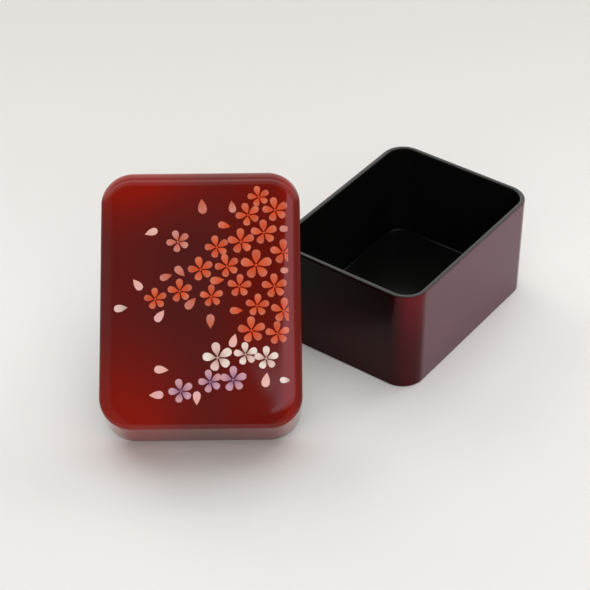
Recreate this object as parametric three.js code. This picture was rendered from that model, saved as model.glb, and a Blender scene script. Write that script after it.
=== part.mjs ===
// A small lacquered accessory case with its lid taken off: an open box with rounded corners, and a deep
// overlapping lid that stands on one end edge and leans on the rim of the box.
// Millimetres, +Z up. The origin is the centre of the box's underside, with the short side along X and the
// long side along Y. Each of the two bodies is a wall frame with a board let into it.
import * as THREE from 'three';

// Box
const BOX_WIDTH = 75;
const BOX_LENGTH = 100.5;
const BOX_HEIGHT = 50;
const BOX_CORNER = 11;
const BOX_WALL = 2.4;
const BOX_RIM_ROUND = 0.7;
const BOX_FOOT_BEVEL = 0.4;

// Base board of the box, let into a rebate in the foot of the wall
const BASE_THICKNESS = 3;
const BASE_REBATE = 1.1;
const BASE_BEVEL = 0.3;

// Lid: it slips over the outside of the box, so its opening follows the box and the play around it
const LID_WALL = 3.8;
const LID_SIDE_PLAY = 0.9;
const LID_END_PLAY = 1.25;
const LID_CORNER = 13.8;
const LID_SKIRT = 28;
const LID_RIM_ROUND = 0.8;

// Top board of the lid: a flange on the skirt, a plug inside it and a crown above
const TOP_FLANGE = 0.9;
const TOP_PLUG = 1.6;
const EDGE_WIDTH = 8;
const EDGE_HEIGHT = 3.4;
const DOME_HEIGHT = 1.3;

// How the lid stands: the turn and lean of its rim plane, and where its side meets the rim of the box,
// measured along the box's front wall from the box's left side
const LID_TURN = THREE.MathUtils.degToRad(37.2);
const LID_LEAN = THREE.MathUtils.degToRad(37.7);
const LID_TOUCH = 15.1;
const LEAN_GAP = 0.3;

// Glued joints are drawn with this gap
const JOINT_GAP = 0.3;

// Fineness of the outlines
const CORNER_STEPS = 10;
const SIDE_STEPS = 6;
const ROUND_STEPS = 3;
const CROWN_RINGS = 7;
const FIELD_RINGS = 4;

const LID_WIDTH = BOX_WIDTH + 2 * (LID_SIDE_PLAY + LID_WALL);
const LID_LENGTH = BOX_LENGTH + 2 * (LID_END_PLAY + LID_WALL);

const WINE_LACQUER = { color: 0x3c1417, roughness: 0.12, metalness: 0 };
const BLACK_LACQUER = { color: 0x070707, roughness: 0.12, metalness: 0 };
const RED_LACQUER = { color: 0x86190f, roughness: 0.1, metalness: 0 };

// Points of a rounded rectangle, anticlockwise, moved inward by inset.
function outline(width, length, corner, inset, height) {
  const radius = Math.max(corner - inset, 0.2);
  const reachX = width / 2 - inset - radius;
  const reachY = length / 2 - inset - radius;
  const corners = [[1, 1], [-1, 1], [-1, -1], [1, -1]];
  const arcs = corners.map(([signX, signY], quarter) => {
    const points = [];
    for (let step = 0; step <= CORNER_STEPS; step += 1) {
      const angle = (quarter + step / CORNER_STEPS) * Math.PI / 2;
      points.push(new THREE.Vector3(
        signX * reachX + radius * Math.cos(angle),
        signY * reachY + radius * Math.sin(angle),
        height,
      ));
    }
    return points;
  });
  const ring = [];
  arcs.forEach((arc, quarter) => {
    ring.push(...arc);
    const from = arc[CORNER_STEPS];
    const to = arcs[(quarter + 1) % 4][0];
    for (let step = 1; step < SIDE_STEPS; step += 1) {
      ring.push(from.clone().lerp(to, step / SIDE_STEPS));
    }
  });
  return ring;
}

// Skin over rings of equal length. The first ring lies lowest on the inside of the skin's turn, so that the
// faces point out. A skin that closes on itself joins its last ring to the first; otherwise each end is
// closed with a fan about its centre.
function skin(rings, closesOnItself) {
  const count = rings[0].length;
  const positions = rings.flat().flatMap((point) => [point.x, point.y, point.z]);
  const faces = [];
  const bands = closesOnItself ? rings.length : rings.length - 1;
  for (let band = 0; band < bands; band += 1) {
    const lower = band * count;
    const upper = ((band + 1) % rings.length) * count;
    for (let i = 0; i < count; i += 1) {
      const j = (i + 1) % count;
      faces.push(lower + i, lower + j, upper + j);
      faces.push(lower + i, upper + j, upper + i);
    }
  }
  if (!closesOnItself) {
    const addFan = (first, faceUp) => {
      const centre = positions.length / 3;
      positions.push(0, 0, positions[first * 3 + 2]);
      for (let i = 0; i < count; i += 1) {
        const j = (i + 1) % count;
        faces.push(centre, first + (faceUp ? i : j), first + (faceUp ? j : i));
      }
    };
    addFan(0, false);
    addFan((rings.length - 1) * count, true);
  }
  const geometry = new THREE.BufferGeometry();
  geometry.setAttribute('position', new THREE.Float32BufferAttribute(positions, 3));
  geometry.setIndex(faces);
  geometry.computeVertexNormals();
  return geometry;
}

// Quarter round between two faces, as pairs of (share along the first, share along the second).
function quarterRound(radius) {
  const pairs = [];
  for (let step = 0; step <= ROUND_STEPS; step += 1) {
    const angle = (step / ROUND_STEPS) * Math.PI / 2;
    pairs.push([radius * (1 - Math.cos(angle)), radius * (1 - Math.sin(angle))]);
  }
  return pairs;
}

function piece(name, geometry, finish) {
  const mesh = new THREE.Mesh(geometry, new THREE.MeshStandardMaterial(finish));
  mesh.name = name;
  return mesh;
}

// Wall frame of the box, with a rounded rim and a rebate for the base board.
function boxWall() {
  const rebateTop = BASE_THICKNESS;
  const at = (inset, height) => outline(BOX_WIDTH, BOX_LENGTH, BOX_CORNER, inset, height);
  const round = quarterRound(BOX_RIM_ROUND);
  const outerRim = round.map(([inset, drop]) => at(inset, BOX_HEIGHT - drop));
  const innerRim = round.map(([inset, drop]) => at(BOX_WALL - inset, BOX_HEIGHT - drop)).reverse();
  return piece('box_wall', skin([
    at(BOX_WALL - BASE_REBATE, 0),
    at(BOX_FOOT_BEVEL, 0),
    at(0, BOX_FOOT_BEVEL),
    ...outerRim,
    ...innerRim,
    at(BOX_WALL, rebateTop),
    at(BOX_WALL - BASE_REBATE, rebateTop),
  ], true), WINE_LACQUER);
}

// Base board of the box. Its upper face is the floor of the case and its underside is what the case stands on.
function boxBase() {
  const edge = BOX_WALL - BASE_REBATE + JOINT_GAP;
  const at = (inset, height) => outline(BOX_WIDTH, BOX_LENGTH, BOX_CORNER, inset, height);
  const top = BASE_THICKNESS - JOINT_GAP;
  return piece('box_base', skin([
    at(edge + BASE_BEVEL, 0),
    at(edge, BASE_BEVEL),
    at(edge, top - BASE_BEVEL),
    at(edge + BASE_BEVEL, top),
  ], false), BLACK_LACQUER);
}

// Skirt of the lid, modelled with its rim down on z = 0.
function lidSkirt() {
  const at = (inset, height) => outline(LID_WIDTH, LID_LENGTH, LID_CORNER, inset, height);
  const round = quarterRound(LID_RIM_ROUND);
  const outerRim = round.map(([inset, rise]) => at(inset, rise)).reverse();
  const innerRim = round.map(([inset, rise]) => at(LID_WALL - inset, rise));
  const top = LID_SKIRT - TOP_FLANGE - JOINT_GAP;
  return piece('lid_skirt', skin([
    ...innerRim,
    ...outerRim,
    at(0, top),
    at(LID_WALL, top),
  ], true), RED_LACQUER);
}

// Height of the crown above the shoulder of the lid, at a point in plan and a distance in from the outline.
function crownHeight(point, inset) {
  const share = Math.min(inset / EDGE_WIDTH, 1);
  const edge = EDGE_HEIGHT * Math.sqrt(1 - (1 - share) ** 2);
  const acrossFall = 1 - (point.x / (LID_WIDTH / 2)) ** 2;
  const alongFall = 1 - (point.y / (LID_LENGTH / 2)) ** 2;
  return edge + DOME_HEIGHT * acrossFall * alongFall;
}

// Top board of the lid: the plug sits inside the skirt, the flange on it, and the crown rises from the shoulder.
function lidTop() {
  const at = (inset, height) => outline(LID_WIDTH, LID_LENGTH, LID_CORNER, inset, height);
  const plug = LID_WALL + JOINT_GAP;
  const flangeUnder = LID_SKIRT - TOP_FLANGE;
  const rings = [
    at(plug, flangeUnder - TOP_PLUG),
    at(plug, flangeUnder),
    at(0, flangeUnder),
  ];
  for (let ring = 0; ring <= CROWN_RINGS; ring += 1) {
    const inset = EDGE_WIDTH * (1 - Math.cos((ring / CROWN_RINGS) * Math.PI / 2));
    rings.push(at(inset, 0).map((point) => point.setZ(LID_SKIRT + crownHeight(point, inset))));
  }
  for (let ring = 1; ring < FIELD_RINGS; ring += 1) {
    const scale = 1 - ring / FIELD_RINGS;
    rings.push(at(EDGE_WIDTH, 0).map((point) => {
      const inner = new THREE.Vector3(point.x * scale, point.y * scale, 0);
      return inner.setZ(LID_SKIRT + crownHeight(inner, EDGE_WIDTH));
    }));
  }
  return piece('lid_top', skin(rings, false), RED_LACQUER);
}

// The lid stands on the round of its lower rim edge and leans back until the round along its side lies on the
// round of the box's front rim, a small gap away. Both rounds are cylinders there, and they cross: the way
// between their axes is square to both. From the axis in the lid, its place follows down to the foot, which is
// the middle of the lower rim edge as if that edge were sharp.
function placeLid(lid) {
  const turned = new THREE.Matrix4().makeRotationZ(LID_TURN);
  turned.multiply(new THREE.Matrix4().makeRotationX(LID_LEAN));
  const across = new THREE.Vector3();
  const upFace = new THREE.Vector3();
  const outOfFace = new THREE.Vector3();
  turned.extractBasis(across, upFace, outOfFace);

  const boxRimAxis = new THREE.Vector3(
    LID_TOUCH - BOX_WIDTH / 2,
    BOX_RIM_ROUND - BOX_LENGTH / 2,
    BOX_HEIGHT - BOX_RIM_ROUND,
  );
  const apart = new THREE.Vector3(1, 0, 0).cross(upFace).normalize();
  const lidRimAxis = boxRimAxis.clone().addScaledVector(apart, BOX_RIM_ROUND + LEAN_GAP + LID_RIM_ROUND);

  const foot = lidRimAxis.clone();
  foot.addScaledVector(across, LID_RIM_ROUND - LID_WIDTH / 2);
  foot.addScaledVector(outOfFace, -LID_RIM_ROUND);
  const sink = LID_RIM_ROUND * (upFace.z + outOfFace.z - 1);
  foot.addScaledVector(upFace, -(foot.z + sink) / upFace.z);

  const stand = new THREE.Group();
  stand.position.copy(foot);
  stand.rotation.z = LID_TURN;
  const lean = new THREE.Group();
  lean.rotation.x = LID_LEAN;
  lid.position.y = LID_LENGTH / 2;
  lean.add(lid);
  stand.add(lean);
  return stand;
}

const box = new THREE.Group();
box.add(boxWall(), boxBase());

const lid = new THREE.Group();
lid.add(lidSkirt(), lidTop());

const accessoryCase = new THREE.Group();
accessoryCase.add(box, placeLid(lid));

export default accessoryCase;
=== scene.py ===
"""Looks of the lacquer accessory case: box, leaning lid with scattered blossoms, floor, light and camera.

Lengths are in millimetres, unless a comment says metres, and are scaled to metres where Blender takes them.
The box is built in the part's frame, whose origin is the middle of the box's underside. The lid and its
blossoms are laid out in the lid's own frame: x across, y up the face and z out of it, with the origin in
the middle of the plane of its rim.
"""
import math

import bmesh
import bpy
from mathutils import Matrix, Vector


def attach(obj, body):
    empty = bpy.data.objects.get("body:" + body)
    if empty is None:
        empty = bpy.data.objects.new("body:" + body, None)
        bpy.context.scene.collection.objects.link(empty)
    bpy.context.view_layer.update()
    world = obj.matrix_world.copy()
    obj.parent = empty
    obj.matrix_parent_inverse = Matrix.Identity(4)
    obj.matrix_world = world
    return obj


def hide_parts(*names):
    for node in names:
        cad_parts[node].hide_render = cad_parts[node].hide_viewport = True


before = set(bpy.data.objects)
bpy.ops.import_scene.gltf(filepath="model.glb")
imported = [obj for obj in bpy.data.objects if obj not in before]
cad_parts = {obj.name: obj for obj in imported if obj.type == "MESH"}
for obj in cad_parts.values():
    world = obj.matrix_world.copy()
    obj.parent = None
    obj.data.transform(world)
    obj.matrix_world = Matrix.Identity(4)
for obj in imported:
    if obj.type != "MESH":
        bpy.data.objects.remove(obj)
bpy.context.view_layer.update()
MM = 0.001

# Box
BOX_WIDTH = 75.0
BOX_LENGTH = 100.5
BOX_HEIGHT = 50.0
BOX_CORNER = 11.0
BOX_WALL = 2.4
BOX_RIM_ROUND = 0.7
BOX_FOOT_BEVEL = 0.4
BOX_FLOOR = 2.7
INNER_FILLET = 0.7

# Lid
LID_WALL = 3.8
LID_SIDE_PLAY = 0.9
LID_END_PLAY = 1.25
LID_WIDTH = BOX_WIDTH + 2 * (LID_WALL + LID_SIDE_PLAY)
LID_LENGTH = BOX_LENGTH + 2 * (LID_WALL + LID_END_PLAY)
LID_CORNER = 13.8
LID_SKIRT = 28.0
LID_CEILING = 25.5
LID_RIM_ROUND = 0.8
EDGE_WIDTH = 8.0
EDGE_HEIGHT = 3.4
DOME_HEIGHT = 1.3

# How the lid stands
LID_TURN = math.radians(37.2)
LID_LEAN = math.radians(37.7)
LID_TOUCH = 15.1
LEAN_GAP = 0.3

# The fine surfaces lie this much inside the faceted ones
HAIR = 0.05

# Fineness of the outlines and surfaces, and the least radius of an outline's corner
CORNER_STEPS = 24
SIDE_STEPS = 10
ROUND_STEPS = 5
CROWN_RINGS = 22
FIELD_RINGS = 16
LEAST_RADIUS = 0.2

# Rings on the flat floors, as shares of their outline, and on the walls, as shares of their height
FLOOR_SHARES = (0.15, 0.4, 0.7, 0.9)
WALL_SHARES = (0.75, 0.5, 0.25)
SKIRT_SHARES = (0.25, 0.5, 0.75, 0.93)

# A ring this far from a rounded edge keeps the shading of the flat beside it flat
NEAR = 0.3

# The step of the rim's outer round down to which the black of the inside reaches
RIM_SPLIT = 3

# A Mix node's sockets for colours, which come after those for numbers and vectors
COLOUR_INPUTS = slice(6, 8)
COLOUR_OUTPUT = 2

# Faint waves that hand polishing leaves, as clouds per millimetre, strength and depth in metres
WAVE_SCALE = 0.05
WAVE_STRENGTH = 0.2
WAVE_DEPTH = 0.00002

# Lacquer of the lid
WINE = (0.088, 0.0105, 0.0095)
DEEP_RED = (0.13, 0.005, 0.0015)
BRIGHT_RED = (0.28, 0.008, 0.002)
LID_ROUGHNESS = 0.07
LID_IOR = 1.4

# How far across or up the lid each shade begins and is full
DEEP_RED_ACROSS = (0.0, 24.0)
TOP_BRIGHT_UP = (18.0, 48.0)
TOP_DIM_ACROSS = (-30.0, 15.0)
FOOT_BRIGHT_UP = (-6.0, -50.0)
FOOT_DIM_ACROSS = (-24.0, 6.0)
LEFT_BRIGHT_ACROSS = (-8.0, -36.0)
# Where the lid's right edge mirrors the window, a brighter red band: painted reflection
REFLECTION_BAND_BEGINS_ACROSS = (31.0, 37.0)
REFLECTION_BAND_ENDS_ACROSS = (38.0, 41.0)

# How strong each shade is
TOP_CURVE = 2.0
TOP_BRIGHT = 1.0
TOP_DIMMING = 0.7
FOOT_CURVE = 1.3
FOOT_BRIGHT = 0.75
FOOT_DIMMING = 0.56
LEFT_BRIGHT = 0.2
REFLECTION_BAND_BRIGHT = 0.55

# Lacquer of the box, with painted shade on the tops of the end walls and a painted reflection in the long
# walls' colour
END_WINE = (0.022, 0.001, 0.001)
END_PAINTED_SHADE = (0.006, 0.0005, 0.0005)
# Long walls: wine with a painted reflection of the pale floor in its grey
SIDE_WINE_AND_PAINTED_REFLECTION = (0.145, 0.064, 0.081)
CORNER_WINE = (0.055, 0.001, 0.004)
CORNER_RED = (0.145, 0.003, 0.009)
BOX_ROUGHNESS = 0.08
BOX_IOR = 1.27

# Heights over which the painted shade on the end walls deepens and the corners redden, and ways past the
# straight of a wall
END_SHADE_DEEPENS = (12.0, 40.0)
CORNER_REDDENS = (15.0, 60.0)
END_GIVES_WAY = (-1.5, 9.0)
SIDE_BEGINS = (3.0, -1.0)

# Black lacquer of the insides and the rims
BLACK = (0.003, 0.003, 0.003)
SOFT_BLACK = (0.006, 0.006, 0.0055)
BLACK_ROUGHNESS = 0.2
BLACK_IOR = 1.4
CLOUD_SCALE = 0.05

# Powder of the blossoms: colour of the heart, and two colours between which the petals vary
ORANGE_POWDER = ((0.74, 0.062, 0.004), (0.74, 0.125, 0.045), (0.62, 0.075, 0.018))
PINK_POWDER = ((0.62, 0.12, 0.06), (0.72, 0.27, 0.21), (0.64, 0.16, 0.11))
ROSE_POWDER = ((0.9, 0.45, 0.36), (0.95, 0.52, 0.45), (0.86, 0.44, 0.46))
CREAM_POWDER = ((0.58, 0.38, 0.32), (0.97, 0.84, 0.76), (0.86, 0.57, 0.52))
LAVENDER_POWDER = ((0.32, 0.17, 0.29), (0.63, 0.33, 0.44), (0.66, 0.31, 0.36))

# How the powder lies, along a petal from 0 at the heart to 1 at the tip
HEART_REACH = 0.65
TIP_BEGINS = 0.4
TIP_PALE = (0.85, 0.75, 0.68)
TIP_SHARE = 0.08
GRAIN_SHARE = 0.06
GRAIN_SCALE = 3.0
GRAIN_DETAIL = 3.0
GRAIN_RANGE = (0.35, 0.65)

# Blossoms: middle across and up the face, length of a petal, turn of the upright petal in degrees
ORANGE_BLOSSOMS = (
    (24.6, 43.4, 4.7, 10), (31.6, 37.5, 5.5, 9), (20.1, 35.4, 5.3, 18), (26.7, 27.5, 5.6, 3),
    (17.0, 23.6, 5.7, 2), (23.3, 13.3, 6.6, -2), (6.9, 21.2, 5.1, 12), (11.2, 12.9, 5.2, 15),
    (0.1, 11.6, 5.4, 11), (34.8, 18.9, 5.6, -1), (16.2, 4.2, 5.1, -6), (30.9, 4.1, 5.4, 2),
    (-8.6, 2.3, 5.2, 2), (4.6, -0.1, 4.9, 0), (-18.8, -1.0, 4.8, 4), (23.6, -4.2, 5.0, -6),
    (34.6, -6.4, 5.5, -6), (21.2, -14.8, 5.8, 2), (32.0, -16.1, 5.1, 2),
)
PINK_BLOSSOMS = ((-9.3, 23.8, 5.0, 18),)
CREAM_BLOSSOMS = ((7.1, -26.2, 6.3, 9), (18.7, -24.9, 5.0, 4), (27.2, -26.7, 5.1, -1))
LAVENDER_BLOSSOMS = ((13.5, -35.5, 5.5, -1), (4.0, -36.3, 5.0, 12), (-8.1, -40.2, 5.2, 13))

# Loose petals: pointed end across and up the face, length, way to the round end in degrees
ORANGE_PETALS = (
    (9.9, 7.1, 5.9, -175), (12.6, 30.3, 5.3, 167), (17.6, -6.2, 5.4, 180),
)
PINK_PETALS = (
    (-11.9, 9.5, 5.3, -161), (-6.6, 8.8, 5.7, 132), (-2.0, -0.7, 6.1, -132), (13.1, 41.7, 5.4, -82),
    (0.5, 42.6, 6.6, -84), (4.2, -13.7, 6.1, 90), (38.2, 29.3, 4.9, 180), (38.0, 11.0, 4.5, 178),
)
ROSE_PETALS = (
    (-23.2, 27.3, 5.6, 19), (-28.0, 7.7, 5.7, -52), (-15.1, -5.8, 5.9, -127), (-13.3, -31.1, 5.9, 176),
    (-21.1, -41.6, 5.9, 2), (-1.6, -45.8, 5.7, 89), (14.5, -16.2, 5.8, -106), (27.5, -32.7, 6.1, -99),
)
CREAM_PETALS = ((-30.4, -4.3, 5.7, -175), (37.2, -35.9, 4.5, 177))

# The five petals of a blossom: their ways from the middle, and their lengths against the named one
PETAL_WAYS = (90, 21, -45, -117, 165)
PETAL_REACHES = (1.06, 1.05, 0.92, 0.9, 1.0)

# Shape of a petal, as shares of its length
PETAL_START = 0.12
PETAL_WIDEST = 0.67
PETAL_WIDTH = 0.278
LOOSE_WIDTH = 0.28
LEAST_SPREAD = 0.06
SWELL_CURVE = 0.9
TIP_CURVE = 2.2
TIP_NOTCH = 0.07
NOTCH_BEGINS = 0.75
HEART_RADIUS = 0.095

# How the petals' tint varies with their number in the blossom and with their place
TINT_WAVES = (2.4, 1.7, 0.9)

# Relief of the ornament, the line across the lid where it ends, and its fineness
RELIEF = 0.04
ORNAMENT_END = 36.8
PETAL_ROWS = 12
PETAL_COLUMNS = (-1.0, -0.55, 0.0, 0.55, 1.0)
HEART_STEPS = 4
MERGE_DISTANCE = 0.002
SHARP_EDGE = math.radians(40)

# Directions of the room: ahead is towards its back wall, and the camera looks that way
ROOM_TURN = math.radians(36.2)
ROOM_RIGHT = Vector((math.cos(ROOM_TURN), math.sin(ROOM_TURN), 0.0))
ROOM_AHEAD = Vector((-math.sin(ROOM_TURN), math.cos(ROOM_TURN), 0.0))
UPWARD = Vector((0.0, 0.0, 1.0))

# Camera: what the middle of the picture shows on the floor, and the way to it
PHOTO_SIZE = 590
FOCAL_PIXELS = 1874.6
SENSOR = 36.0
AIM = Vector((-44.2, -23.07, 0.0))
CAMERA_ELEVATION = math.radians(38.05)
CAMERA_DISTANCE = 878.4

# Nearest and furthest that the camera sees, in metres
CLIP_START = 0.01
CLIP_END = 20.0

# Floor, in metres
FLOOR_REACH = 0.95
FLOOR_SIDES = 96
# The floor darkens towards the back: painted shade for light that falls off there
FLOOR_SHADE_DEEPENS = (-0.05, 0.27)
FLOOR_PALE = (0.86, 0.85, 0.84)
FLOOR_PAINTED_SHADE = (0.65, 0.64, 0.62)
FLOOR_ROUGHNESS = 0.6
FLOOR_SPECULAR = 0.2

# Lamps: place as rightward, ahead and up in metres, size in metres, radiance where 1 is white
LAMP_WHITE = (1.0, 0.99, 0.97)
LAMPS = (
    ("overhead_lamp", (0.0, 0.0, 1.2), 1.2, 1.03),
    ("front_lamp", (0.0, -1.1, 0.8), 1.2, 1.85),
    ("low_front_right_lamp", (1.0, -1.0, 0.35), 0.6, 1.15),
    ("high_right_lamp", (0.7, 0.0, 1.0), 1.0, 0.51),
    ("back_right_lamp", (0.9, 0.9, 0.7), 1.2, 2.05),
    ("back_lamp", (0.0, 1.2, 0.7), 1.2, 0.89),
    ("back_left_lamp", (-0.9, 0.9, 0.7), 1.2, 1.71),
    ("low_back_left_lamp", (-1.0, 1.0, 0.35), 0.6, 2.75),
)

# Light of the room, where a level of 1 is white
WARM_WHITE = (1.0, 0.985, 0.96)
COOL_WHITE = (0.93, 0.985, 1.17)
PALE_LEVEL = 0.87
DIM_LEVEL = 0.085
DARK_LEVEL = 0.1
CEILING_LEVEL = 0.75
STRIP_LEVEL = 1.5
WALL_LEVEL = 1.0
WINDOW_LEVEL = 1.7
SIDE_LEVEL = 0.3

# The least rise of a way, so that a level way meets the imagined ceiling too
LEAST_RISE = 0.02

# Where the room's parts begin and are full, measured on an imagined ceiling one unit up
CEILING_AHEAD = (-0.13, -0.03)
STRIP_BEGINS_AHEAD = (0.08, 0.14)
STRIP_ENDS_AHEAD = (0.21, 0.27)
WALL_AHEAD = (0.42, 0.56)
LEFT_SIDE_RIGHTWARD = (-0.4, -0.8)
RIGHT_SIDE_RIGHTWARD = (0.8, 1.2)

# The light behind spreads from a point this far in front, and fades at its sides over these slopes
BEHIND_START = 1.0
BEHIND_SLOPES = (1.8, 0.9)

# The window: its left edge leans, and its far, right and lower edges are soft
WINDOW_EDGE = (0.722, 0.738)
WINDOW_LEAN = 1.28
LEANING_AHEAD = (-0.53, -0.3)
WINDOW_RIGHTWARD = (1.1, 0.7)
WINDOW_AHEAD = (0.0, -0.25)
SILL_SLOPE = 0.11
SILL_AHEAD = (-1.15, -0.62)


def rounded_outline(width, length, corner, inset, height):
    """Points of a rounded rectangle, anticlockwise, moved inward by inset."""
    radius = max(corner - inset, LEAST_RADIUS)
    reach_x = width / 2 - inset - radius
    reach_y = length / 2 - inset - radius
    arcs = []
    for quarter, (sign_x, sign_y) in enumerate(((1, 1), (-1, 1), (-1, -1), (1, -1))):
        arc = []
        for step in range(CORNER_STEPS + 1):
            angle = (quarter + step / CORNER_STEPS) * math.pi / 2
            x = sign_x * reach_x + radius * math.cos(angle)
            y = sign_y * reach_y + radius * math.sin(angle)
            arc.append(Vector((x, y, height)))
        arcs.append(arc)
    ring = []
    for quarter, arc in enumerate(arcs):
        ring.extend(arc)
        start = arc[-1]
        end = arcs[(quarter + 1) % 4][0]
        for step in range(1, SIDE_STEPS):
            ring.append(start.lerp(end, step / SIDE_STEPS))
    return ring


def drawn_in(ring, share):
    """A ring drawn in towards the axis at its own height."""
    return [Vector((point.x * share, point.y * share, point.z)) for point in ring]


def quarter_round(radius):
    """From a wall to a face: pairs of inset from the wall and depth below the face."""
    angles = [step / ROUND_STEPS * math.pi / 2 for step in range(ROUND_STEPS + 1)]
    return [(radius * (1 - math.cos(angle)), radius * (1 - math.sin(angle))) for angle in angles]


def hollow_round(radius):
    """From a floor to a wall: pairs of inset from the wall and height above the floor."""
    return [(inset, rise) for rise, inset in quarter_round(radius)]


def add_object(name, data):
    """An object in the scene that holds the data."""
    new_object = bpy.data.objects.new(name, data)
    bpy.context.scene.collection.objects.link(new_object)
    return new_object


def shell(name, groups, placement):
    """Closed smooth body over groups of rings, each with its material.

    A group's material begins on the band that leads to its first ring. The attribute own_place holds each
    point's place in the body's own frame, in millimetres.
    """
    mesh = bmesh.new()
    own_place = mesh.verts.layers.float_vector.new("own_place")

    def vertex(point):
        vert = mesh.verts.new(placement @ (point * MM))
        vert[own_place] = point
        return vert

    rows, finishes = [], []
    for finish, (rings, _) in enumerate(groups):
        rows += [[vertex(point) for point in ring] for ring in rings]
        finishes += [finish] * len(rings)
    count = len(rows[0])
    for lower, upper, finish in zip(rows, rows[1:], finishes[1:]):
        for i in range(count):
            j = (i + 1) % count
            face = mesh.faces.new((lower[i], lower[j], upper[j], upper[i]))
            face.material_index = finish
    for row, finish in ((rows[0][::-1], finishes[0]), (rows[-1], finishes[-1])):
        height = sum(vert[own_place].z for vert in row) / count
        centre = vertex(Vector((0.0, 0.0, height)))
        for i in range(count):
            face = mesh.faces.new((row[i], row[(i + 1) % count], centre))
            face.material_index = finish
    for face in mesh.faces:
        face.smooth = True
    bmesh.ops.recalc_face_normals(mesh, faces=mesh.faces)
    data = bpy.data.meshes.new(name)
    mesh.to_mesh(data)
    mesh.free()
    for _, material in groups:
        data.materials.append(material)
    return add_object(name, data)


class Nodes:
    """A node tree, with short ways to add what the lacquers and the room use."""

    def __init__(self, owner):
        owner.use_nodes = True
        self.owner = owner
        self.tree = owner.node_tree
        self.shader = self.tree.nodes.get("Principled BSDF")

    def add(self, kind, **values):
        node = self.tree.nodes.new(kind)
        for key, value in values.items():
            setattr(node, key, value)
        return node

    def link(self, source, target):
        self.tree.links.new(source, target)

    def calculate(self, operation, first, second):
        """The outcome of an operation on two values, each a number or a socket."""
        node = self.add("ShaderNodeMath", operation=operation)
        for socket, value in zip(node.inputs, (first, second)):
            if isinstance(value, (int, float)):
                socket.default_value = value
            else:
                self.link(value, socket)
        return node.outputs[0]

    def plus(self, first, second):
        return self.calculate("ADD", first, second)

    def minus(self, first, second):
        return self.calculate("SUBTRACT", first, second)

    def times(self, first, second):
        return self.calculate("MULTIPLY", first, second)

    def size_of(self, value):
        """The value without its sign."""
        node = self.add("ShaderNodeMath", operation="ABSOLUTE")
        self.link(value, node.inputs[0])
        return node.outputs[0]

    def ramp(self, value, start, end, curve="LINEAR"):
        """0 at start, 1 at end and held beyond them, straight between unless another curve is named."""
        node = self.add("ShaderNodeMapRange", interpolation_type=curve)
        self.link(value, node.inputs["Value"])
        node.inputs["From Min"].default_value = start
        node.inputs["From Max"].default_value = end
        return node.outputs["Result"]

    def smooth_range(self, value, start, end):
        """0 at start, 1 at end and held beyond them, smooth between."""
        return self.ramp(value, start, end, "SMOOTHSTEP")

    def dot(self, vector, axis):
        node = self.add("ShaderNodeVectorMath", operation="DOT_PRODUCT")
        self.link(vector, node.inputs[0])
        node.inputs[1].default_value = axis
        return node.outputs["Value"]

    def mix(self, share, first, second):
        """Colour between two colours or colour sockets."""
        node = self.add("ShaderNodeMix", data_type="RGBA")
        self.link(share, node.inputs["Factor"])
        for socket, value in zip(node.inputs[COLOUR_INPUTS], (first, second)):
            if isinstance(value, tuple):
                socket.default_value = (*value, 1.0)
            else:
                self.link(value, socket)
        return node.outputs[COLOUR_OUTPUT]

    def attribute(self, name, output):
        return self.add("ShaderNodeAttribute", attribute_name=name).outputs[output]

    def place(self):
        """The place in the piece's own frame, in millimetres, and its x, y and z."""
        own_place = self.attribute("own_place", "Vector")
        split = self.add("ShaderNodeSeparateXYZ")
        self.link(own_place, split.inputs[0])
        return own_place, split.outputs

    def noise(self, vector, scale, detail=2.0):
        node = self.add("ShaderNodeTexNoise")
        self.link(vector, node.inputs["Vector"])
        node.inputs["Scale"].default_value = scale
        node.inputs["Detail"].default_value = detail
        return node.outputs["Fac"]

    def gloss(self, roughness, index):
        self.shader.inputs["Roughness"].default_value = roughness
        self.shader.inputs["IOR"].default_value = index

    def polish_waves(self, vector):
        """The faint waves of a hand-polished surface."""
        bump = self.add("ShaderNodeBump")
        bump.inputs["Strength"].default_value = WAVE_STRENGTH
        bump.inputs["Distance"].default_value = WAVE_DEPTH
        self.link(self.noise(vector, WAVE_SCALE), bump.inputs["Height"])
        self.link(bump.outputs[0], self.shader.inputs["Normal"])


def material_nodes(name):
    """The nodes of a new material."""
    return Nodes(bpy.data.materials.new(name))


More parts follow.
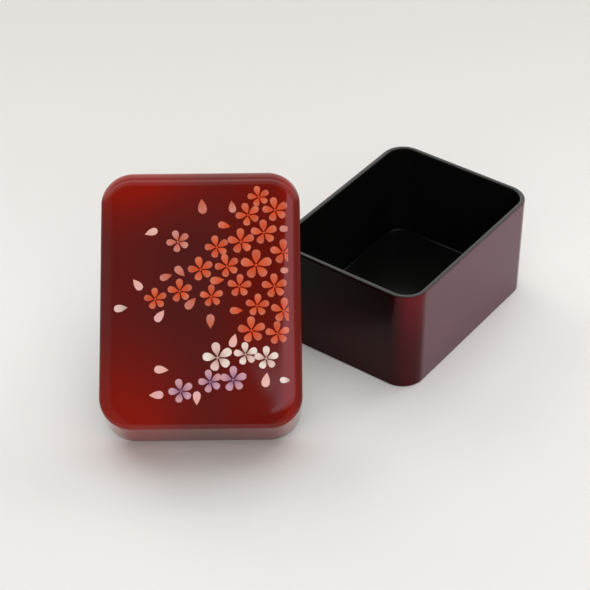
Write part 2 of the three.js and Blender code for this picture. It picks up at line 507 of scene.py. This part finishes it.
def lid_lacquer_and_painted_reflection():
    """Lacquer shaded by hand: wine in the middle, deep red at the right, bright red at the left corners,
    and a brighter red band of painted reflection along the right edge.
    """
    nodes = material_nodes("lid_lacquer_and_painted_reflection")
    own_place, (x, y, _) = nodes.place()
    ground = nodes.mix(nodes.smooth_range(x, *DEEP_RED_ACROSS), WINE, DEEP_RED)

    top = nodes.calculate("POWER", nodes.ramp(y, *TOP_BRIGHT_UP), TOP_CURVE)
    top_dimming = nodes.times(nodes.smooth_range(x, *TOP_DIM_ACROSS), TOP_DIMMING)
    top = nodes.times(top, nodes.minus(TOP_BRIGHT, top_dimming))

    foot = nodes.calculate("POWER", nodes.ramp(y, *FOOT_BRIGHT_UP), FOOT_CURVE)
    foot_dimming = nodes.times(nodes.smooth_range(x, *FOOT_DIM_ACROSS), FOOT_DIMMING)
    foot = nodes.times(foot, nodes.minus(FOOT_BRIGHT, foot_dimming))

    left = nodes.times(nodes.smooth_range(x, *LEFT_BRIGHT_ACROSS), LEFT_BRIGHT)
    # Painted reflection: a brighter red band along the right edge, where the lid mirrors the window
    reflection_band_begins = nodes.smooth_range(x, *REFLECTION_BAND_BEGINS_ACROSS)
    reflection_band_ends = nodes.smooth_range(x, *REFLECTION_BAND_ENDS_ACROSS)
    band = nodes.times(nodes.minus(reflection_band_begins, reflection_band_ends), REFLECTION_BAND_BRIGHT)

    bright = nodes.plus(nodes.plus(top, foot), nodes.plus(left, band))
    bright = nodes.calculate("MINIMUM", bright, 1.0)
    nodes.link(nodes.mix(bright, ground, BRIGHT_RED), nodes.shader.inputs["Base Color"])
    nodes.gloss(LID_ROUGHNESS, LID_IOR)
    nodes.polish_waves(own_place)
    return nodes.owner


def box_lacquer_painted_shade_and_reflection():
    """Wine lacquer: painted shade darkens the tops of the end walls, the long walls' mauve holds a painted
    reflection of the floor, and the corners are red, most at the top.
    """
    nodes = material_nodes("box_lacquer_painted_shade_and_reflection")
    own_place, (x, y, z) = nodes.place()
    straight_x = BOX_WIDTH / 2 - BOX_CORNER
    straight_y = BOX_LENGTH / 2 - BOX_CORNER
    # Red at the corners, fading to dark wine towards the foot
    corner = nodes.mix(nodes.smooth_range(z, *CORNER_REDDENS), CORNER_WINE, CORNER_RED)
    # The end walls darken towards their tops: painted shade, as cast by the leaning lid and mirrored from
    # its dark inside
    end = nodes.mix(nodes.smooth_range(z, *END_SHADE_DEEPENS), END_WINE, END_PAINTED_SHADE)
    past_end = nodes.smooth_range(nodes.size_of(x), *(straight_x + way for way in END_GIVES_WAY))
    past_side = nodes.smooth_range(nodes.size_of(y), *(straight_y + way for way in SIDE_BEGINS))
    # The long walls take a mauve that holds a painted reflection of the pale floor
    wall = nodes.mix(past_side, nodes.mix(past_end, end, corner), SIDE_WINE_AND_PAINTED_REFLECTION)
    nodes.link(wall, nodes.shader.inputs["Base Color"])
    nodes.gloss(BOX_ROUGHNESS, BOX_IOR)
    nodes.polish_waves(own_place)
    return nodes.owner


def black_lacquer():
    """Black lacquer, very slightly clouded."""
    nodes = material_nodes("black_lacquer")
    own_place, _ = nodes.place()
    paint = nodes.mix(nodes.noise(own_place, CLOUD_SCALE), BLACK, SOFT_BLACK)
    nodes.link(paint, nodes.shader.inputs["Base Color"])
    nodes.gloss(BLACK_ROUGHNESS, BLACK_IOR)
    nodes.polish_waves(own_place)
    return nodes.owner


def powder_lacquer(name, heart, petal, other_petal):
    """Powder under clear lacquer: deeper at the heart, paler at the tips, no two petals alike."""
    nodes = material_nodes(name)
    own_place, _ = nodes.place()
    along = nodes.attribute("along", "Fac")
    body = nodes.mix(nodes.attribute("tint", "Fac"), petal, other_petal)
    powder = nodes.mix(nodes.smooth_range(along, 0.0, HEART_REACH), heart, body)
    grain = nodes.smooth_range(nodes.noise(own_place, GRAIN_SCALE, GRAIN_DETAIL), *GRAIN_RANGE)
    tip = nodes.times(nodes.smooth_range(along, TIP_BEGINS, 1.0), TIP_SHARE)
    pale = nodes.plus(tip, nodes.times(grain, GRAIN_SHARE))
    nodes.link(nodes.mix(pale, powder, TIP_PALE), nodes.shader.inputs["Base Color"])
    nodes.gloss(LID_ROUGHNESS, LID_IOR)
    return nodes.owner


def box_shell(wine, black):
    """The box as one lacquered body: from its inner floor up the inside, over the rim and down outside."""
    width = BOX_WIDTH - 2 * HAIR
    length = BOX_LENGTH - 2 * HAIR

    def at(inset, height):
        return rounded_outline(width, length, BOX_CORNER - HAIR, inset, height)

    inner = BOX_WALL - HAIR
    top = BOX_HEIGHT - HAIR
    below_rim = top - BOX_RIM_ROUND - NEAR
    above_fillet = BOX_FLOOR + INNER_FILLET + NEAR
    above_bevel = BOX_FOOT_BEVEL + NEAR
    rim_round = quarter_round(BOX_RIM_ROUND)

    inside = [drawn_in(at(inner + INNER_FILLET, BOX_FLOOR), share) for share in FLOOR_SHARES]
    inside += [at(inner + inset, BOX_FLOOR + rise) for inset, rise in hollow_round(INNER_FILLET)]
    inside += [at(inner, height) for height in (above_fillet, BOX_HEIGHT / 2, below_rim)]
    inside += [at(inner - inset, top - drop) for inset, drop in rim_round]
    inside += [at(inset, top - drop) for inset, drop in reversed(rim_round[RIM_SPLIT:])]
    outside = [at(inset, top - drop) for inset, drop in reversed(rim_round[:RIM_SPLIT])]
    outside.append(at(0, below_rim))
    outside += [at(0, BOX_HEIGHT * share) for share in WALL_SHARES]
    outside += [at(0, above_bevel), at(0, BOX_FOOT_BEVEL), at(BOX_FOOT_BEVEL, 0)]
    under = [drawn_in(at(BOX_FOOT_BEVEL, 0), share) for share in reversed(FLOOR_SHARES)]
    return shell("box_shell", ((inside, black), (outside, wine), (under, black)), Matrix())


def edge_distance(x, y):
    """How far a point of the lid's face lies inside the lid's outline."""
    beyond_x = abs(x) - (LID_WIDTH / 2 - LID_CORNER)
    beyond_y = abs(y) - (LID_LENGTH / 2 - LID_CORNER)
    outward = math.hypot(max(beyond_x, 0.0), max(beyond_y, 0.0)) + min(max(beyond_x, beyond_y), 0.0)
    return LID_CORNER - outward


def crown_height(x, y, inset):
    """Height of the lid's face above the plane of its rim."""
    share = min(max(inset / EDGE_WIDTH, 0.0), 1.0)
    edge = EDGE_HEIGHT * math.sqrt(1 - (1 - share) ** 2)
    across_fall = 1 - (x / (LID_WIDTH / 2)) ** 2
    along_fall = 1 - (y / (LID_LENGTH / 2)) ** 2
    return LID_SKIRT + edge + DOME_HEIGHT * across_fall * along_fall


def on_crown(ring, inset):
    """A ring lifted to the lid's face."""
    return [Vector((p.x, p.y, crown_height(p.x, p.y, inset) - HAIR)) for p in ring]


def lid_shell(red, black, placement):
    """The lid as one lacquered body: down the inside, round the rim, up the skirt and over the crown."""
    width = LID_WIDTH - 2 * HAIR
    length = LID_LENGTH - 2 * HAIR

    def at(inset, height):
        return rounded_outline(width, length, LID_CORNER - HAIR, inset, height)

    inner = LID_WALL - HAIR
    above_rim = LID_RIM_ROUND + HAIR + NEAR
    below_fillet = LID_CEILING - INNER_FILLET - NEAR
    rim_round = quarter_round(LID_RIM_ROUND)

    inside = [drawn_in(at(inner + INNER_FILLET, LID_CEILING), share) for share in FLOOR_SHARES]
    inside += [at(inner + inset, LID_CEILING - rise) for inset, rise in hollow_round(INNER_FILLET)]
    inside += [at(inner, height) for height in (below_fillet, LID_SKIRT / 2, above_rim)]
    rim = [at(inner - inset, HAIR + rise) for inset, rise in rim_round]
    rim += [at(inset, HAIR + rise) for inset, rise in reversed(rim_round)]
    outside = [at(0, above_rim)]
    outside += [at(0, LID_SKIRT * share) for share in SKIRT_SHARES]
    for ring in range(CROWN_RINGS + 1):
        inset = EDGE_WIDTH * (1 - math.cos(ring / CROWN_RINGS * math.pi / 2))
        outside.append(on_crown(at(inset, 0), inset))
    field_edge = at(EDGE_WIDTH, 0)
    for ring in range(1, FIELD_RINGS):
        outside.append(on_crown(drawn_in(field_edge, 1 - ring / FIELD_RINGS), EDGE_WIDTH))
    return shell("lid_shell", ((inside, black), (rim, black), (outside, red)), placement)


def lid_placement():
    """Where the lid stands: on the round of its own rim, leaning on the round of the box's rim."""
    turned = Matrix.Rotation(LID_TURN, 3, "Z") @ Matrix.Rotation(LID_LEAN, 3, "X")
    across, up_face, out_of_face = (turned.col[i].copy() for i in range(3))
    box_rim_axis = Vector((
        LID_TOUCH - BOX_WIDTH / 2,
        BOX_RIM_ROUND - BOX_LENGTH / 2,
        BOX_HEIGHT - BOX_RIM_ROUND,
    ))
    apart = Vector((1.0, 0.0, 0.0)).cross(up_face).normalized()
    lid_rim_axis = box_rim_axis + apart * (BOX_RIM_ROUND + LEAN_GAP + LID_RIM_ROUND)
    foot = lid_rim_axis + across * (LID_RIM_ROUND - LID_WIDTH / 2) - out_of_face * LID_RIM_ROUND
    sink = LID_RIM_ROUND * (up_face.z + out_of_face.z - 1)
    foot -= up_face * ((foot.z + sink) / up_face.z)
    middle = foot + up_face * (LID_LENGTH / 2)
    return Matrix.Translation(middle * MM) @ turned.to_4x4()


def petal_spread(share):
    """Width of a petal along its length, against its greatest: narrow at the heart, blunt at the tip."""
    if share < PETAL_WIDEST:
        spread = math.sin(share / PETAL_WIDEST * math.pi / 2) ** SWELL_CURVE
    else:
        spread = math.sqrt(1 - ((share - PETAL_WIDEST) / (1 - PETAL_WIDEST)) ** TIP_CURVE)
    return max(spread, LEAST_SPREAD)


def petal_tint(number, x, y):
    """Share of the second petal colour, from 0 to 1."""
    by_number, by_x, by_y = TINT_WAVES
    return 0.5 + 0.5 * math.sin(by_number * number + by_x * x + by_y * y)


class Ornament:
    """Thin relief that lies on the crown of the lid."""

    def __init__(self, name, material, placement):
        self.name = name
        self.material = material
        self.placement = placement
        self.mesh = bmesh.new()
        self.own_place = self.mesh.verts.layers.float_vector.new("own_place")
        self.along = self.mesh.verts.layers.float.new("along")
        self.tint = self.mesh.verts.layers.float.new("tint")

    def vertex(self, x, y, lift, along, tint):
        height = crown_height(x, y, edge_distance(x, y)) - HAIR + lift
        point = Vector((x, y, height))
        vert = self.mesh.verts.new(self.placement @ (point * MM))
        vert[self.own_place] = point
        vert[self.along] = along
        vert[self.tint] = tint
        return vert

    def petal(self, x, y, way, start, reach, half_width, tint):
        """A petal, pointed at its start, round and slightly notched at its tip."""
        ahead = Vector((math.cos(way), math.sin(way)))
        aside = Vector((-ahead.y, ahead.x))
        grid = []
        for row in range(PETAL_ROWS + 1):
            share = row / PETAL_ROWS
            half = half_width * petal_spread(share)
            deepest = TIP_NOTCH * max(share - NOTCH_BEGINS, 0.0) / (1 - NOTCH_BEGINS)
            line = []
            for column in PETAL_COLUMNS:
                distance = start + (reach - start) * (share - deepest * (1 - abs(column)))
                point = ahead * distance + aside * (half * column)
                line.append((min(x + point.x, ORNAMENT_END), y + point.y, share))
            grid.append(line)
        self.sheet(grid, tint)

    def heart(self, x, y, radius):
        """The small dot in the middle of a blossom."""
        grid = []
        for side in (-1, 1):
            line = []
            for step in range(HEART_STEPS + 1):
                angle = math.pi * (step / HEART_STEPS - 0.5)
                line.append((x + radius * math.sin(angle), y + side * radius * math.cos(angle), 0.0))
            grid.append(line)
        self.sheet(grid, 0.0)

    def sheet(self, grid, tint):
        """A thin closed body over a grid of points: an upper and a lower sheet and the edge between."""
        lower, upper = (
            [[self.vertex(x, y, lift, along, tint) for x, y, along in line] for line in grid]
            for lift in (-RELIEF, RELIEF)
        )
        last_row = len(grid) - 1
        last_column = len(grid[0]) - 1
        for r in range(last_row):
            for c in range(last_column):
                around = ((r, c), (r + 1, c), (r + 1, c + 1), (r, c + 1))
                back_around = ((r, c), (r, c + 1), (r + 1, c + 1), (r + 1, c))
                top = self.mesh.faces.new([upper[i][j] for i, j in around])
                top.smooth = True
                self.mesh.faces.new([lower[i][j] for i, j in back_around])
        edge = [(r, 0) for r in range(last_row)]
        edge += [(last_row, c) for c in range(last_column)]
        edge += [(r, last_column) for r in range(last_row, 0, -1)]
        edge += [(0, c) for c in range(last_column, 0, -1)]
        for (r0, c0), (r1, c1) in zip(edge, edge[1:] + edge[:1]):
            self.mesh.faces.new((upper[r0][c0], upper[r1][c1], lower[r1][c1], lower[r0][c0]))

    def blossom(self, x, y, size, turn):
        for number, (way, reach) in enumerate(zip(PETAL_WAYS, PETAL_REACHES)):
            angle = math.radians(way + turn)
            tint = petal_tint(number, x, y)
            self.petal(x, y, angle, PETAL_START * size, reach * size, PETAL_WIDTH * size, tint)
        self.heart(x, y, HEART_RADIUS * size)

    def loose_petal(self, x, y, size, way):
        self.petal(x, y, math.radians(way), 0.0, size, LOOSE_WIDTH * size, petal_tint(0, x, y))

    def finish(self):
        bmesh.ops.remove_doubles(self.mesh, verts=self.mesh.verts, dist=MERGE_DISTANCE * MM)
        bmesh.ops.recalc_face_normals(self.mesh, faces=self.mesh.faces)
        for edge in self.mesh.edges:
            if len(edge.link_faces) == 2 and edge.calc_face_angle(0.0) > SHARP_EDGE:
                edge.smooth = False
        data = bpy.data.meshes.new(self.name)
        self.mesh.to_mesh(data)
        self.mesh.free()
        data.materials.append(self.material)
        return add_object(self.name, data)


def ornament(name, material, blossoms, petals, placement):
    """One object that holds the blossoms and loose petals of one colour."""
    relief = Ornament(name, material, placement)
    for blossom in blossoms:
        relief.blossom(*blossom)
    for petal in petals:
        relief.loose_petal(*petal)
    return relief.finish()


def floor():
    """A wide round pale floor, with painted shade that darkens it towards the back. It ends where the
    lamps' light ends.
    """
    nodes = material_nodes("floor")
    coordinates = nodes.add("ShaderNodeTexCoord")
    away = nodes.dot(coordinates.outputs["Object"], ROOM_AHEAD)
    pale_and_painted_shade = nodes.mix(nodes.ramp(away, *FLOOR_SHADE_DEEPENS), FLOOR_PALE, FLOOR_PAINTED_SHADE)
    nodes.link(pale_and_painted_shade, nodes.shader.inputs["Base Color"])
    nodes.shader.inputs["Roughness"].default_value = FLOOR_ROUGHNESS
    nodes.shader.inputs["Specular IOR Level"].default_value = FLOOR_SPECULAR
    data = bpy.data.meshes.new("floor")
    ways = [step / FLOOR_SIDES * math.tau for step in range(FLOOR_SIDES)]
    edge = [(FLOOR_REACH * math.cos(way), FLOOR_REACH * math.sin(way), 0.0) for way in ways]
    data.from_pydata(edge, [], [range(FLOOR_SIDES)])
    data.materials.append(nodes.owner)
    add_object("floor", data)


def soft_lamp(name, way, size, radiance):
    """A large soft lamp that looks at the case, kept out of the lacquer's reflections.

    A square lamp sends out its radiance times pi times its area.
    """
    rightward, ahead, up = way
    lamp = bpy.data.lights.new(name, "AREA")
    lamp.shape = "SQUARE"
    lamp.size = size
    lamp.energy = radiance * math.pi * size * size
    lamp.color = LAMP_WHITE
    holder = add_object(name, lamp)
    holder.location = ROOM_RIGHT * rightward + ROOM_AHEAD * ahead + UPWARD * up
    holder.rotation_euler = holder.location.to_track_quat("Z", "Y").to_euler()
    holder.visible_glossy = False


def light_behind(nodes, rightward, ahead):
    """The pale ceiling, the bright strip on it and the pale wall at the back of the room."""
    ceiling = nodes.times(nodes.smooth_range(ahead, *CEILING_AHEAD), CEILING_LEVEL)
    strip_begins = nodes.smooth_range(ahead, *STRIP_BEGINS_AHEAD)
    strip_ends = nodes.smooth_range(ahead, *STRIP_ENDS_AHEAD)
    strip = nodes.times(nodes.minus(strip_begins, strip_ends), STRIP_LEVEL)
    wall = nodes.times(nodes.smooth_range(ahead, *WALL_AHEAD), WALL_LEVEL)
    behind = nodes.plus(nodes.plus(ceiling, strip), wall)
    slope = nodes.calculate("DIVIDE", nodes.size_of(rightward), nodes.plus(ahead, BEHIND_START))
    return nodes.times(behind, nodes.smooth_range(slope, *BEHIND_SLOPES))


def window_share(nodes, rightward, ahead):
    """1 in the window at the right, 0 outside it."""
    nearest, furthest = LEANING_AHEAD
    leaning = nodes.calculate("MAXIMUM", nodes.calculate("MINIMUM", ahead, furthest), nearest)
    slant = nodes.minus(rightward, nodes.times(leaning, WINDOW_LEAN))
    sill = nodes.minus(ahead, nodes.times(rightward, SILL_SLOPE))
    window = nodes.smooth_range(slant, *WINDOW_EDGE)
    window = nodes.times(window, nodes.smooth_range(rightward, *WINDOW_RIGHTWARD))
    window = nodes.times(window, nodes.smooth_range(ahead, *WINDOW_AHEAD))
    return nodes.times(window, nodes.smooth_range(sill, *SILL_AHEAD))


def light_beside(nodes, rightward):
    """Faint light from both sides of the room."""
    left = nodes.smooth_range(rightward, *LEFT_SIDE_RIGHTWARD)
    right = nodes.smooth_range(rightward, *RIGHT_SIDE_RIGHTWARD)
    return nodes.times(nodes.plus(left, right), SIDE_LEVEL)


def room():
    """What the lacquer mirrors: a pale room behind, a window at the right, and a dark room in front.

    Each way is given by where it meets an imagined ceiling one unit up: rightward and ahead. The camera
    sees a plain pale room, and the lamps do nearly all of the lighting.
    """
    nodes = Nodes(bpy.data.worlds.new("room"))
    bpy.context.scene.world = nodes.owner
    way = nodes.add("ShaderNodeTexCoord").outputs["Generated"]
    rise = nodes.calculate("MAXIMUM", nodes.dot(way, UPWARD), LEAST_RISE)
    rightward = nodes.calculate("DIVIDE", nodes.dot(way, ROOM_RIGHT), rise)
    ahead = nodes.calculate("DIVIDE", nodes.dot(way, ROOM_AHEAD), rise)

    window = window_share(nodes, rightward, ahead)
    lit = nodes.plus(nodes.times(window, WINDOW_LEVEL), light_beside(nodes, rightward))
    lit = nodes.plus(light_behind(nodes, rightward, ahead), lit)
    mirrored = nodes.plus(DARK_LEVEL, lit)

    rays = nodes.add("ShaderNodeLightPath").outputs
    glossy = rays["Is Glossy Ray"]
    seen = rays["Is Camera Ray"]
    other = nodes.calculate("MAXIMUM", nodes.minus(1.0, nodes.plus(glossy, seen)), 0.0)
    level = nodes.plus(nodes.times(mirrored, glossy), nodes.times(PALE_LEVEL, seen))
    level = nodes.plus(level, nodes.times(other, DIM_LEVEL))
    colour = nodes.mix(nodes.times(window, glossy), WARM_WHITE, COOL_WHITE)
    background = nodes.tree.nodes["Background"]
    nodes.link(colour, background.inputs["Color"])
    nodes.link(level, background.inputs["Strength"])


def camera():
    """The camera of the photo, found by fitting the edges of the box and the lid to it."""
    ahead = ROOM_AHEAD * math.cos(CAMERA_ELEVATION) - UPWARD * math.sin(CAMERA_ELEVATION)
    lens = bpy.data.cameras.new("camera")
    lens.sensor_width = SENSOR
    lens.lens = FOCAL_PIXELS * SENSOR / PHOTO_SIZE
    lens.clip_start = CLIP_START
    lens.clip_end = CLIP_END
    eye = add_object("camera", lens)
    eye.location = (AIM - ahead * CAMERA_DISTANCE) * MM
    eye.rotation_euler = ahead.to_track_quat("-Z", "Y").to_euler()
    bpy.context.scene.camera = eye


red_lacquer = lid_lacquer_and_painted_reflection()
wine_lacquer = box_lacquer_painted_shade_and_reflection()
inner_lacquer = black_lacquer()

box = box_shell(wine_lacquer, inner_lacquer)
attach(box, "box")
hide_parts("box_wall", "box_base")

standing = lid_placement()
lid = lid_shell(red_lacquer, inner_lacquer, standing)
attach(lid, "lid")
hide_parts("lid_skirt", "lid_top")

for name, powder_name, powder, blossoms, petals in (
    ("blossoms_orange", "orange_powder", ORANGE_POWDER, ORANGE_BLOSSOMS, ORANGE_PETALS),
    ("blossoms_pink", "pink_powder", PINK_POWDER, PINK_BLOSSOMS, PINK_PETALS),
    ("petals_rose", "rose_powder", ROSE_POWDER, (), ROSE_PETALS),
    ("blossoms_cream", "cream_powder", CREAM_POWDER, CREAM_BLOSSOMS, CREAM_PETALS),
    ("blossoms_lavender", "lavender_powder", LAVENDER_POWDER, LAVENDER_BLOSSOMS, ()),
):
    material = powder_lacquer(powder_name, *powder)
    relief = ornament(name, material, blossoms, petals, standing)
    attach(relief, "lid")

floor()
room()
for lamp in LAMPS:
    soft_lamp(*lamp)
camera()
bpy.context.scene.view_settings.view_transform = "Standard"
